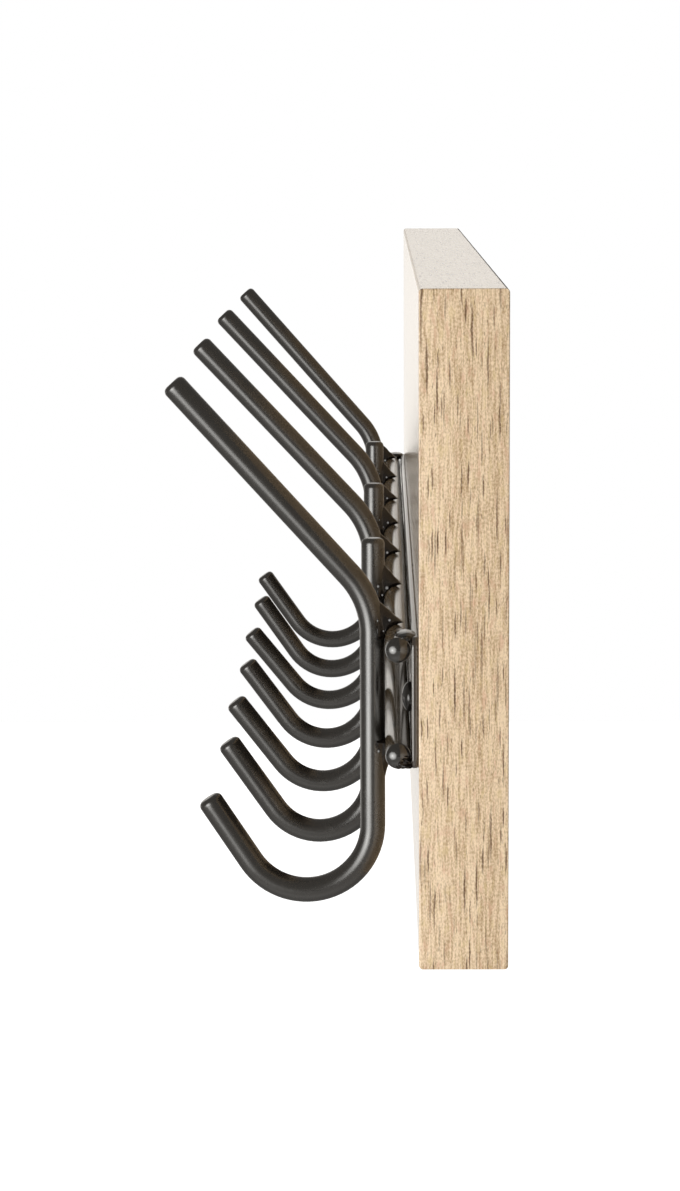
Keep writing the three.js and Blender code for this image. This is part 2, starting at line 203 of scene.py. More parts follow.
def addSoftbox(index, width, height, power):
    # one layer of the softbox, turned from before the end face towards the hooks' side
    name = f"keySoftbox{index + 1}"
    data = bpy.data.lights.new(name, "AREA")
    data.shape = "ELLIPSE"
    data.size, data.size_y = width, height
    data.energy = power
    data.color = studio["keyColor"]
    turn = radians(studio["keyTurn"])
    rise = radians(studio["keyRise"])
    level = Vector((cos(turn), -sin(turn), 0)) * cos(rise)
    distance = studio["keyDistance"] - studio["keyLayerGap"] * index
    place = (level + Vector((0, 0, sin(rise)))) * distance
    facing = (-place).to_track_quat("-Z", "Y").to_matrix().to_4x4()
    addObject(name, data).matrix_world = Matrix.Translation(place) @ facing


def whitenWorld():
    # a white backdrop for what is seen or mirrored, and a dimmer room on the near side
    world = bpy.data.worlds.new("whiteRoom")
    world.use_nodes = True
    scene.world = world
    tree = world.node_tree
    tree.nodes.clear()
    path = addNode(tree, "LightPath").outputs
    axes = splitAxes(tree, addNode(tree, "TexCoord").outputs["Generated"])
    foot = rampTo(tree, axes["Z"], *studio["horizon"], studio["footGloss"],
                  studio["backdropGloss"], "LINEAR")
    room = rampTo(tree, axes["X"], *studio["backdropEdge"], foot, studio["roomGloss"])
    ambient = rampTo(tree, axes["Z"], -1, 1, studio["ambientBelow"], studio["ambientAbove"],
                     "LINEAR")

    def background(strength, color=(1, 1, 1, 1)):
        return addNode(tree, "Background", {"Color": color, "Strength": strength}).outputs[0]

    def choose(share, first, second):
        return addNode(tree, "MixShader", {0: share, 1: first, 2: second}).outputs[0]

    seen = compute(tree, "MAXIMUM", path["Is Camera Ray"], path["Is Transmission Ray"])
    lit = choose(path["Is Glossy Ray"], background(ambient, studio["ambientColor"]),
                 background(room, studio["mirroredColor"]))
    addNode(tree, "OutputWorld", {"Surface": choose(seen, lit, background(1))})


def layFloor():
    # the rack hangs well above a pale floor, which takes its shadow
    material = bpy.data.materials.new("paleFloor")
    material.use_nodes = True
    tree = material.node_tree
    path = addNode(tree, "LightPath").outputs
    mirrored = path["Is Glossy Ray"]
    along = splitAxes(tree, addNode(tree, "TexCoord").outputs["Object"])["X"]
    # in reflections the floor's colour is painted light: dim behind the rack, pale on the camera's
    # side
    paintedMirroredLight = rampTo(tree, along, *studio["mirroredFloorEdge"], *studio["mirroredFloor"])
    near = rampTo(tree, along, *studio["floorFade"], studio["farFloorGloss"],
                  studio["nearFloorGloss"])
    glow = compute(tree, "MAXIMUM", path["Is Camera Ray"], multiply(tree, mirrored, near))
    feedAll(tree, tree.nodes["Principled BSDF"], {
        "Roughness": studio["floorRoughness"],
        "Base Color": mixColors(tree, mirrored, studio["floorColor"], paintedMirroredLight),
        "Emission Color": mixColors(tree, mirrored, (1, 1, 1, 1), studio["mirroredColor"]),
        "Emission Strength": multiply(tree, glow, studio["floorGlow"]),
    })
    mesh = bpy.data.meshes.new("floor")
    half = studio["floorSize"] / 2
    corners = [(-half, -half, 0), (half, -half, 0), (half, half, 0), (-half, half, 0)]
    mesh.from_pydata(corners, [], [(0, 1, 2, 3)])
    mesh.materials.append(material)
    floor = addObject("floor", mesh)
    floor.location.z = -studio["floorDrop"]


scene.view_settings.view_transform = "Standard"
placeCamera()
for index, layer in enumerate(studio["keyLayers"]):
    addSoftbox(index, *layer)
whitenWorld()
layFloor()
print("camera, lights and floor in place")


# oak and coat patterns

oak = {
    "pale": (0.887, 0.683, 0.457, 1),
    "tan": (0.420, 0.262, 0.122, 1),
    "rosy": (0.680, 0.410, 0.260, 1),
    "golden": (0.730, 0.550, 0.270, 1),
    "pore": (0.125, 0.058, 0.020, 1),
    "glue": (0.030, 0.026, 0.020, 1),
    # glue lines along the bands: place from the back, half width, strength
    "edgeLines": ((-0.25 * mm, 0.6 * mm, 1.0), (-17.8 * mm, 0.24 * mm, 0.36)),
    "endLines": ((-0.05 * mm, 0.24 * mm, 0.3),),
    # how often each pattern repeats in a metre across, along and through the grain
    "wanders": (130, 16, 20),
    "flickers": (500, 380, 90),
    "streaks": (2300, 150, 300),
    "bands": (420, 18, 60),
    "speckle": (3300, 1700, 900),
    "blush": (900, 260, 200),
    "thinning": (210, 34, 50),
    # how far the grain wanders and flickers sideways
    "wander": 0.0007,
    "flicker": 0.0002,
    # how much the streaks, the bands and the speckle darken, and what comes off their sum
    "darkening": (0.54, 0.27, 0.52),
    "paleness": 0.31,
    # between which values a pattern fades in, and from how much to how much
    "lineFade": (0.34, 0.66),
    "speckleFade": (0.32, 0.68),
    "rosyFade": (0.54, 0.70, 0, 0.55),
    "goldenFade": (0.46, 0.32, 0, 0.40),
    "thinningFade": (0.32, 0.52, 0.45, 1),
    "gritFade": (0.25, 0.55, 0.65, 1),
    # how often along and across, how wide the pores are, how many of the places have one
    "longPores": (720, 30, 0.225, 0.72),
    "middlePores": (900, 62, 0.24, 0.70),
    "fleckPores": (1400, 240, 0.19, 0.40),
    # the thinnest pore's share of the width, the share that is dark through, and the depths
    "poreThinnest": 0.6,
    "poreMiddle": 0.4,
    "poreDepth": (0.55, 1),
    "seedAlong": 1.7,
    "fleckDepth": 0.7,
    "poreDarkness": 0.96,
    "roughnessFade": (0.2, 0.8, 0.40, 0.50),
    "poreRoughness": 0.35,
    "streakHeight": 0.15,
    "bump": 0.4,
    "bumpDepth": 0.00004,
    "ior": 1.45,
    "faceGloss": 0.09,
    "edgeGloss": 0.16,
    "endGloss": 0.13,
}


def makeOakFigure():
    # its point holds metres across, along and through the grain
    tree, given, sink = newGroup("oakFigure", {"Point": "Vector"})

    def pattern(place, name, detail=2):
        return noiseOf(tree, movePoint(tree, "MULTIPLY", place, oak[name]), detail=detail)

    # the grain wanders a little from side to side, and each line flickers
    bend = compute(tree, "SUBTRACT", pattern(given["Point"], "wanders"), 0.5)
    shake = compute(tree, "SUBTRACT", pattern(given["Point"], "flickers"), 0.5)
    side = addUp(tree, (bend, 2 * oak["wander"]), (shake, 2 * oak["flicker"]))
    shift = addNode(tree, "CombineXYZ", {0: side}).outputs[0]
    point = movePoint(tree, "ADD", given["Point"], shift)

    grit = pattern(point, "speckle", 1)
    blush = pattern(point, "blush", 3)
    streak = rampTo(tree, pattern(point, "streaks"), *oak["lineFade"])
    band = rampTo(tree, pattern(point, "bands"), *oak["lineFade"])
    speckle = rampTo(tree, grit, *oak["speckleFade"])
    darkness = addUp(tree, *zip((streak, band, speckle), oak["darkening"]))
    darkness = compute(tree, "SUBTRACT", darkness, oak["paleness"], clamp=True)
    wood = mixColors(tree, darkness, oak["pale"], oak["tan"])
    wood = mixColors(tree, rampTo(tree, blush, *oak["rosyFade"]), wood, oak["rosy"])
    wood = mixColors(tree, rampTo(tree, blush, *oak["goldenFade"]), wood, oak["golden"])

    def poreLayer(name, seed):
        # long thin spots, one to a cell, in some of the cells; each has its own width and depth
        across, along, width, share = oak[name]
        place = movePoint(tree, "MULTIPLY", point, (across, along, 0))
        place = movePoint(tree, "ADD", place, (seed, seed * oak["seedAlong"], 0))
        distance, picks = cellsOf(tree, place, "2D")
        chosen = compute(tree, "LESS_THAN", picks[0], share)
        size = rampTo(tree, picks[1], 0, 1, width * oak["poreThinnest"], width)
        dark = multiply(tree, size, oak["poreMiddle"])
        mask = rampTo(tree, distance, dark, size, 1, 0)
        depth = rampTo(tree, picks[2], 0, 1, *oak["poreDepth"])
        return multiply(tree, mask, chosen, depth)

    flecks = multiply(tree, poreLayer("fleckPores", 23), oak["fleckDepth"])
    pores = compute(tree, "MAXIMUM", poreLayer("longPores", 3), poreLayer("middlePores", 11),
                    flecks)
    pores = multiply(tree, pores, rampTo(tree, pattern(point, "thinning"), *oak["thinningFade"]),
                     rampTo(tree, grit, *oak["gritFade"]))
    dark = multiply(tree, pores, oak["poreDarkness"])
    raised = multiply(tree, streak, oak["streakHeight"])
    feedAll(tree, sink, {
        "Color": mixColors(tree, dark, wood, oak["pore"]),
        "Roughness": compute(tree, "ADD", rampTo(tree, grit, *oak["roughnessFade"]),
                             multiply(tree, pores, oak["poreRoughness"])),
        "Height": compute(tree, "SUBTRACT", raised, pores),
    })
    return tree


coat = {
    "grainScale": 3.4,
    "cloudScale": 90,
    "dustScale": 700,
    "cloudFade": (0.3, 0.7),
    "dustFade": (0.50, 0.78),
    "dustShare": 0.5,
    "dustRoughness": 0.12,
    "peelHeight": 0.55,
    "grainHeight": 0.45,
    "sheenRoughness": 0.35,
}


def makeCoatSkin():
    # powder coat: a fine orange peel, with slow changes of gloss and a little dust
    tree, given, sink = newGroup("coatSkin", {
        "Point": "Vector", "Base": "Color", "Dusty": "Color", "Gloss": "Float",
        "Spread": "Float", "Peel Scale": "Float"})
    point = given["Point"]
    peeled = addNode(tree, "VectorMath", {0: point, "Scale": given["Peel Scale"]},
                     operation="SCALE").outputs[0]
    peel = noiseOf(tree, peeled, detail=1.5, roughness=0.4)
    grain = noiseOf(tree, peeled, scale=coat["grainScale"])
    cloud = noiseOf(tree, point, scale=coat["cloudScale"], detail=3)
    dust = noiseOf(tree, point, scale=coat["dustScale"], detail=4, roughness=0.7)
    dusty = multiply(tree, rampTo(tree, dust, *coat["dustFade"]), coat["dustShare"])
    change = compute(tree, "SUBTRACT", rampTo(tree, cloud, *coat["cloudFade"]), 0.5)
    uneven = multiply(tree, change, given["Spread"])
    dull = multiply(tree, dusty, coat["dustRoughness"])
    feedAll(tree, sink, {
        "Color": mixColors(tree, dusty, given["Base"], given["Dusty"]),
        "Roughness": compute(tree, "ADD", given["Gloss"], uneven, dull),
        "Height": addUp(tree, (peel, coat["peelHeight"]), (grain, coat["grainHeight"])),
    })
    return tree


oakFigure = makeOakFigure()
coatSkin = makeCoatSkin()


# materials

def startMaterial(name):
    material = bpy.data.materials.new(name)
    material.use_nodes = True
    tree = material.node_tree
    place = addNode(tree, "TexCoord").outputs["Object"]
    return material, tree, tree.nodes["Principled BSDF"], place


def makeOakDecor(name, order, coatRoughness, glueLines=()):
    # order says which axes run across, along and through the grain
    material, tree, shader, place = startMaterial(name)
    axes = splitAxes(tree, place)
    turned = addNode(tree, "CombineXYZ", {index: axes[axis] for index, axis in enumerate(order)})
    figure = addNode(tree, "Group", {"Point": turned.outputs[0]}, node_tree=oakFigure)
    color, rough, height = figure.outputs
    coated = 1
    lines = []
    for level, width, strength in glueLines:
        away = compute(tree, "ABSOLUTE", compute(tree, "SUBTRACT", axes["Y"], level))
        lines.append(rampTo(tree, away, width, width / 2, 0, strength))
    if lines:
        # a glue line is dark and matt
        glued = compute(tree, "MAXIMUM", *lines)
        color = mixColors(tree, glued, color, oak["glue"])
        rough = compute(tree, "MAXIMUM", rough, glued)
        coated = compute(tree, "SUBTRACT", 1, glued)
    feedAll(tree, shader, {
        "Base Color": color, "Roughness": rough, "IOR": oak["ior"],
        "Coat Weight": coated, "Coat Roughness": coatRoughness,
        "Normal": bumpOf(tree, height, oak["bump"], oak["bumpDepth"]),
    })
    return material


def makeCoat(name, values):
    material, tree, shader, place = startMaterial(name)
    skin = addNode(tree, "Group", {
        "Point": place, "Base": values["base"], "Dusty": values["dusty"],
        "Gloss": values["gloss"], "Spread": values["spread"], "Peel Scale": values["peelScale"],
    }, node_tree=coatSkin)
    color, rough, height = skin.outputs
    feedAll(tree, shader, {
        "Base Color": color, "Roughness": rough, "IOR": values["ior"],
        "Normal": bumpOf(tree, height, values["peelStrength"], values["peelDepth"]),
        # a coat's sheen, tinted brown, is a painted reflection of the oak board
        "Specular Tint": values["tint"], "Sheen Weight": values["sheen"],
        "Sheen Tint": values["paintedOakSheenTint"], "Sheen Roughness": coat["sheenRoughness"],
    })
    return material


zinc = {
    "grey": (0.60, 0.61, 0.62, 1),
    "warm": (0.72, 0.70, 0.64, 1),
    "cloudScale": 220,
    "cloudFade": (0.3, 0.7),
    "rolling": (60, 60, 4000),
    "roughnessFade": (0.3, 0.7, 0.24, 0.40),
    "bump": 0.3,
    "bumpDepth": 0.00002,
}


def makeZinc():
    material, tree, shader, place = startMaterial("zincPlate")
    cloud = noiseOf(tree, place, scale=zinc["cloudScale"], detail=3)
    rolled = noiseOf(tree, movePoint(tree, "MULTIPLY", place, zinc["rolling"]))
    feedAll(tree, shader, {
        "Base Color": mixColors(tree, rampTo(tree, cloud, *zinc["cloudFade"]), zinc["grey"],
                                zinc["warm"]),
        "Roughness": rampTo(tree, rolled, *zinc["roughnessFade"]),
        "Metallic": 1,
        "Normal": bumpOf(tree, rolled, zinc["bump"], zinc["bumpDepth"]),
    })
    return material


chipboard = {
    "light": (0.62, 0.47, 0.30, 1),
    "dark": (0.36, 0.24, 0.13, 1),
    "dust": (0.70, 0.58, 0.42, 1),
    "chips": (420, 1300, 420),
    "dustScale": 2600,
    "dustFade": (0.4, 0.8),
    "roughness": 0.92,
    "bump": 0.6,
    "bumpDepth": 0.0004,
}


def makeChipboard():
    material, tree, shader, place = startMaterial("chipboard")
    chips = movePoint(tree, "MULTIPLY", place, chipboard["chips"])
    distance, picks = cellsOf(tree, chips)
    dust = noiseOf(tree, place, scale=chipboard["dustScale"], detail=3)
    color = mixColors(tree, picks[0], chipboard["light"], chipboard["dark"])
    dusty = rampTo(tree, dust, *chipboard["dustFade"])
    feedAll(tree, shader, {
        "Base Color": mixColors(tree, dusty, color, chipboard["dust"]),
        "Roughness": chipboard["roughness"],
        "Normal": bumpOf(tree, distance, chipboard["bump"], chipboard["bumpDepth"]),
    })
    return material


satinCoat = {
    "base": (0.0115, 0.0095, 0.0075, 1),
    "dusty": (0.030, 0.026, 0.022, 1),
    "gloss": 0.255,
    "spread": 0.05,
    "peelScale": 1200.0,
    "peelStrength": 0.13,
    "peelDepth": 0.00003,
    "ior": 1.9,
    "tint": (1.0, 0.98, 0.94, 1),
    "sheen": 0.0,
    # the sheen's brown tint is a painted reflection of the oak board; only the rods have sheen
    "paintedOakSheenTint": (0.80, 0.58, 0.34, 1),
}
# the rods' brown sheen is a painted reflection of the oak board, strongest at grazing angles
rodCoat = dict(satinCoat, base=(0.007, 0.006, 0.005, 1), gloss=0.15, spread=0.03, peelScale=700.0,
               peelStrength=0.03, sheen=0.12)
weldCoat = dict(satinCoat, base=(0.007, 0.005, 0.004, 1), gloss=0.15, spread=0.05,
                peelScale=1100.0, peelStrength=0.15, ior=1.5)
spatterCoat = dict(weldCoat, gloss=0.11, peelStrength=0.05, ior=3.6)
stripCoat = dict(satinCoat, base=(0.030, 0.019, 0.012, 1), dusty=(0.060, 0.042, 0.030, 1),
                 gloss=0.11, spread=0.03, peelScale=500.0, peelStrength=0.03, ior=2.1)
screwCoat = dict(satinCoat, base=(0.008, 0.007, 0.006, 1), gloss=0.10, spread=0.03,
                 peelStrength=0.05, ior=1.55)

finishes = {
    "longOak": makeOakDecor("oakDecorLong", "ZXY", oak["faceGloss"]),
    "edgeOak": makeOakDecor("oakDecorEdge", "YXZ", oak["edgeGloss"], oak["edgeLines"]),
    "uprightOak": makeOakDecor("oakDecorUpright", "YZX", oak["endGloss"], oak["endLines"]),
    "satinCoat": makeCoat("powderCoatSatin", satinCoat),
    "rodCoat": makeCoat("powderCoatRod", rodCoat),
    "weldCoat": makeCoat("powderCoatWeld", weldCoat),
    "spatterCoat": makeCoat("powderCoatSpatter", spatterCoat),
    "stripCoat": makeCoat("powderCoatStrip", stripCoat),
    "screwCoat": makeCoat("blackScrew", screwCoat),
    "zinc": makeZinc(),
    "chipboard": makeChipboard(),
}
print("materials made")


# shared ways of making pieces

# a lathed end's smallest radius, and how near points of a plate are made one
poleRadius = 0.02 * mm
mergeGap = 1e-6


def camelName(node):
    first, *others = node.split("_")
    return first + "".join(word.capitalize() for word in others)


def finishPiece(node, mesh, finish, sharpAngle=32, name=None):
    # the piece that stands for one solid, named after it unless a name is given
    name = name or camelName(node)
    mesh.name = name
    mesh.materials.clear()
    mesh.materials.append(finishes[finish])
    mesh.shade_smooth()
    mesh.set_sharp_from_angle(angle=radians(sharpAngle))
    piece = addObject(name, mesh)
    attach(piece, "root")
    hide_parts(node)
    return piece


def meshFrom(bm):
    bmesh.ops.recalc_face_normals(bm, faces=bm.faces)
    mesh = bpy.data.meshes.new("draft")
    bm.to_mesh(mesh)
    bm.free()
    return mesh


def ringOf(bm, radii, height):
    ring = []
    for i, radius in enumerate(radii):
        turn = 2 * pi * i / len(radii)
        ring.append(bm.verts.new((radius * cos(turn), radius * sin(turn), height)))
    return ring


def ringFaces(bm, rings, closeEnds=True):
    # joins neighbouring rings of equal count, and caps the first and last
    count = len(rings[0])
    for low, high in zip(rings, rings[1:]):
        for i in range(count):
            j = (i + 1) % count
            bm.faces.new((low[i], low[j], high[j], high[i]))
    if closeEnds:
        bm.faces.new(tuple(reversed(rings[0])))
        bm.faces.new(tuple(rings[-1]))


def latheMesh(profile, sides):
    # profile: radius and height pairs, from one end to the other, turned about Z
    bm = bmesh.new()
    ringFaces(bm, [ringOf(bm, [radius] * sides, height) for radius, height in profile])
    return meshFrom(bm)


def arcPoints(centre, radius, start, end, steps):
    # start and end are in degrees
    points = []
    for i in range(steps + 1):
        turn = radians(start + (end - start) * i / steps)
        points.append((centre[0] + radius * cos(turn), centre[1] + radius * sin(turn)))
    return points


def roundedRectangle(width, height, radius, steps=8):
    points = []
    for index, (sideX, sideY) in enumerate(((1, 1), (-1, 1), (-1, -1), (1, -1))):
        centre = (sideX * (width / 2 - radius), sideY * (height / 2 - radius))
        points += arcPoints(centre, radius, 90 * index, 90 * index + 90, steps)
    return points


def evaluatedMesh(item):
    bpy.context.view_layer.update()
    return bpy.data.meshes.new_from_object(
        item.evaluated_get(bpy.context.evaluated_depsgraph_get()))


def plateMesh(outlines, thickness, bevel, bevelSteps=3):
    # flat outlines, the first one outside and the rest as holes, with rounded arrises
    curve = bpy.data.curves.new("plateOutline", "CURVE")
    curve.dimensions = "2D"
    curve.fill_mode = "BOTH"
    curve.extrude = thickness / 2 - bevel
    curve.bevel_depth = bevel
    curve.bevel_resolution = bevelSteps
    curve.offset = -bevel
    for outline in outlines:
        spline = curve.splines.new("POLY")
        spline.points.add(len(outline) - 1)
        for point, (x, y) in zip(spline.points, outline):
            point.co = (x, y, 0, 1)
        spline.use_cyclic_u = True
    draft = addObject("plateDraft", curve)
    mesh = evaluatedMesh(draft)
    bpy.data.objects.remove(draft)
    bpy.data.curves.remove(curve)
    bm = bmesh.new()
    bm.from_mesh(mesh)
    bmesh.ops.remove_doubles(bm, verts=bm.verts, dist=mergeGap)
    bpy.data.meshes.remove(mesh)
    return meshFrom(bm)


def cutMesh(mesh, cutters):
    # takes the cutters' meshes out of the mesh
    body = addObject("cutDraft", mesh)
    tools = [addObject("cutter", cutter) for cutter in cutters]
    for tool in tools:
        step = body.modifiers.new("cut", "BOOLEAN")
        step.operation = "DIFFERENCE"
        step.solver = "EXACT"
        step.object = tool
    result = evaluatedMesh(body)
    for item in [body, *tools]:
        bpy.data.objects.remove(item)
    return result


def turnMesh(mesh, place, *turns):
    # each turn is an axis letter and degrees, taken in order before the move
    matrix = Matrix.Identity(4)
    for axis, angle in turns:
        matrix = Matrix.Rotation(radians(angle), 4, axis) @ matrix
    mesh.transform(Matrix.Translation(place) @ matrix)
    return mesh


def middle(low, high):
    return (low + high) / 2


def middleOf(node):
    return middle(*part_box(node))


def seatOf(node, depth):
    # the middle of a node's box across and up, at a depth of its own
    low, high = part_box(node)
    return middle(low.x, high.x), depth, middle(low.z, high.z)


# board

board = {
    "arris": 0.8 * mm,
    "endArris": 0.28 * mm,
    "cornerRadius": 0.8 * mm,
    "arrisSteps": 6,
}


def dressCadNode(node, finish):
    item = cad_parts[node]
    item.data.materials.clear()
    item.data.materials.append(finishes[finish])


def longBandMesh(low, high, side):
    # a thin band with its two outer arrises rounded; side is 1 on top and -1 below
    depth = high.y - low.y
    height = high.z - low.z
    radius = board["arris"]
    steps = board["arrisSteps"]
    back = arcPoints((depth / 2 - radius, height - radius), radius, 0, 90, steps)
    front = arcPoints((radius - depth / 2, height - radius), radius, 90, 180, steps)
    outline = [(-depth / 2, 0), (depth / 2, 0)] + back + front
    bm = bmesh.new()
    rings = []
    for x in (low.x, high.x):
        ring = []
        for y, z in outline:
            level = low.z + z if side > 0 else high.z - z
            ring.append(bm.verts.new((x, middle(low.y, high.y) + y, level)))
        rings.append(ring)
    ringFaces(bm, rings)
    return meshFrom(bm)


def endBandMesh(low, high):
    outline = roundedRectangle(high.y - low.y, high.z - low.z, board["cornerRadius"])
    mesh = plateMesh([outline], high.x - low.x, board["endArris"])
    # the plate lies in X and Y, so it is stood up with its height along Z
    return turnMesh(mesh, middle(low, high), ("X", 90), ("Z", 90))


def buildBoard():
    dressCadNode("board_core", "chipboard")
    dressCadNode("front_decor_sheet", "longOak")
    dressCadNode("back_decor_sheet", "longOak")
    for edge, side in (("top", 1), ("bottom", -1)):
        node = f"{edge}_edge_band"
        mesh = longBandMesh(*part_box(node), side)
        finishPiece(node, mesh, "edgeOak", name=f"{edge}Band")
    for edge in ("left", "right"):
        node = f"{edge}_end_band"
        mesh = endBandMesh(*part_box(node))
        finishPiece(node, mesh, "uprightOak", name=f"{edge}Band")


buildBoard()
print("board dressed")


# strip and rods

strip = {
    "cornerRadius": 2 * mm,
    "arris": 0.35 * mm,
    "screwCount": 4,
    "holeRadius": 1.9 * mm,
    "holeSteps": 24,
}

rod = {
    "radius": 2.66 * mm,
    "domeRadius": 3.5 * mm,
    "domeEdge": 0.16 * mm,
    "domeSteps": 9,
    "edgeSteps": 4,
    "sides": 40,
    "spans": 60,
    "ripple": 0.012 * mm,
    "ripplesPerMetre": 60,
    "rippleSpread": 900,
}


def buildStrip():
    low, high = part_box("mounting_strip")
    centre = middle(low, high)
    outlines = [roundedRectangle(high.x - low.x, high.z - low.z, strip["cornerRadius"])]
    for index in range(strip["screwCount"]):
        x, _, z = seatOf(f"strip_screw_{index + 1}", 0)
        hole = (x - centre.x, z - centre.z)
        outlines.append(arcPoints(hole, strip["holeRadius"], 0, 360, strip["holeSteps"])[:-1])
    mesh = plateMesh(outlines, high.y - low.y, strip["arris"])
    turnMesh(mesh, centre, ("X", 90))
    finishPiece("mounting_strip", mesh, "stripCoat")


def buildRod(node):
    low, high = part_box(node)
    centre = middle(low, high)
    half = (high.x - low.x) / 2
    radius = rod["radius"]
    # a shallow dome, a tight edge round it, then the long straight
    slope = asin((radius - rod["domeEdge"]) / rod["domeRadius"])
    profile = []
    for i in range(rod["domeSteps"] + 1):
        turn = slope * i / rod["domeSteps"]
        profile.append((max(rod["domeRadius"] * sin(turn), poleRadius),
                        -half + rod["domeRadius"] * (1 - cos(turn))))
    edgeStart = profile[-1][1]
    for i in range(1, rod["edgeSteps"] + 1):
        turn = slope + (pi / 2 - slope) * i / rod["edgeSteps"]
        profile.append((radius - rod["domeEdge"] * (1 - sin(turn)),
                        edgeStart + rod["domeEdge"] * (cos(slope) - cos(turn))))
    dome = profile.copy()
    straight = -dome[-1][1]
    for i in range(1, rod["spans"]):
        height = -straight + 2 * straight * i / rod["spans"]
        wave = noise.noise(Vector((height * rod["ripplesPerMetre"],
                                   centre.z * rod["rippleSpread"], 0)))
        profile.append((radius - rod["ripple"] * (1 + wave) / 2, height))
    profile += [(size, -height) for size, height in reversed(dome)]
    mesh = turnMesh(latheMesh(profile, rod["sides"]), centre, ("Y", 90))
    finishPiece(node, mesh, "rodCoat")


buildStrip()
buildRod("upper_rod")
buildRod("lower_rod")
print("strip and rods built")


# hooks

hook = {
    "count": 7,
    "wireRadius": 2.55 * mm,
    "coat": 0.10 * mm,
    "sides": 40,
    "endRound": 1.25 * mm,
    "endSteps": 8,
    # how far from an end the plain stations start, in roundings
    "endClear": 1.5,
    "stationGap": 1.2 * mm,
    "drop": 43 * mm,
    "bendRadius": 12.8 * mm,
    "tipLength": 18.6 * mm,
    "tipAngle": 36,
    "cornerRise": 20 * mm,
    "armBendRadius": 18.5 * mm,
    "armReach": 61.5 * mm,
    "armAngle": 43,
    "stubRise": 24.6 * mm,
    "ripple": 0.02 * mm,
    "ripplesPerMetre": 140,
    "rippleSeed": 7.3,
    "sharpAngle": 50,
    # each hook's own shares of the drop, the bend radius, the tip's length and the tip's angle
    "bends": ((1.019, 1.063, 0.984, 0.981), (1.016, 1.008, 1.022, 0.975),
              (1, 1, 1.027, 1.092), (1.002, 0.984, 1.005, 1.017), (0.998, 0.977, 1.038, 1.053),
              (0.995, 0.961, 1.022, 0.978), (0.998, 1.094, 0.871, 0.933)),
    # each double hook's own shares of the corner's rise, the arm's bend radius and its angle
    "armBends": ((1, 0.865, 0.963), (1.035, 1.07, 1.002), (1.005, 1.054, 1.007),
                 (0.94, 0.984, 0.986)),
}


def headingAt(turn):
    # 0 heads up, a quarter turn heads to the front and a half turn heads down
    return Vector((0, -sin(turn), cos(turn)))


class WireWalk:
    # walks a wire's centre line in its upright plane and keeps a station every so often
    def __init__(self, place, turn):
        self.place = place.copy()
        self.turn = turn
        self.stations = [(place.copy(), headingAt(turn))]

    def run(self, length):
        steps = max(1, round(length / hook["stationGap"]))
        heading = headingAt(self.turn)
        for _ in range(steps):
            self.place += heading * (length / steps)
            self.stations.append((self.place.copy(), heading))

    def bend(self, radius, angle):
        steps = max(2, round(abs(angle) * radius / hook["stationGap"]))
        side = copysign(pi / 2, angle)
        centre = self.place + headingAt(self.turn + side) * radius
        start = self.turn
        for step in range(1, steps + 1):
            self.turn = start + angle * step / steps
            self.place = centre - headingAt(self.turn + side) * radius
            self.stations.append((self.place.copy(), headingAt(self.turn)))


def armBend(index):
    # where a double hook's arm starts to bend over the row's middle, how tightly and how far
    riseShare, radiusShare, angleShare = hook["armBends"][index // 2]
    radius = hook["armBendRadius"] * radiusShare
    angle = radians(hook["armAngle"] * angleShare)
    cornerRun = radius * tan(angle / 2)
    return hook["cornerRise"] * riseShare - cornerRun, radius, angle, cornerRun


def walkHook(centre, index):
    # from the lower tip, round the bend, up the wire and out along the arm
    dropShare, radiusShare, tipShare, angleShare = hook["bends"][index]
    radius = hook["bendRadius"] * radiusShare
    down = WireWalk(centre, pi)
    down.run(hook["drop"] * dropShare - radius)
    down.bend(radius, radians(hook["tipAngle"] * angleShare) - pi)
    down.run(hook["tipLength"] * tipShare)
    up = WireWalk(centre, 0)
    if index % 2 == 0:
        start, radius, angle, cornerRun = armBend(index)
        up.run(start)
        up.bend(radius, angle)
        up.run(hook["armReach"] - cornerRun)
    else:
        up.run(hook["stubRise"])
    back = [(place, -heading) for place, heading in reversed(down.stations[1:])]
    return back + up.stations


def roundedEnds(stations):
    # the wire's ends shrink to a softly rounded flat
    radius = hook["wireRadius"] + hook["coat"]
    endRound = hook["endRound"]
    clear = endRound * hook["endClear"]

    def shrunk(place, heading, inward):
        for step in range(hook["endSteps"] + 1):
            turn = pi / 2 * step / hook["endSteps"]
            moved = place + inward * endRound * (1 - cos(turn))
            yield moved, heading, radius - endRound * (1 - sin(turn))

    first, last = stations[0], stations[-1]
    start = list(shrunk(*first, first[1]))
    end = list(shrunk(*last, -last[1]))
    body = [(place, heading, radius) for place, heading in stations
            if min((place - first[0]).length, (place - last[0]).length) > clear]
    return start + body + end[::-1]


def sweepWire(stations, seed):
    bm = bmesh.new()
    rings = []
    sideways = Vector((1, 0, 0))
    for place, heading, radius in roundedEnds(stations):
        upward = heading.cross(sideways)
        ring = []
        for i in range(hook["sides"]):
            turn = 2 * pi * i / hook["sides"]
            outward = sideways * cos(turn) + upward * sin(turn)
            skin = place + outward * radius
            wave = noise.noise(skin * hook["ripplesPerMetre"] + Vector((seed, 0, 0)))
            ring.append(bm.verts.new(place + outward * (radius - hook["ripple"] * (1 + wave) / 2)))
        rings.append(ring)
    ringFaces(bm, rings, closeEnds=False)
    for ring, station in ((rings[0], stations[0]), (rings[-1], stations[-1])):
        tip = bm.verts.new(station[0])
        for i in range(len(ring)):
            bm.faces.new((ring[i], ring[(i + 1) % len(ring)], tip))
    return meshFrom(bm)


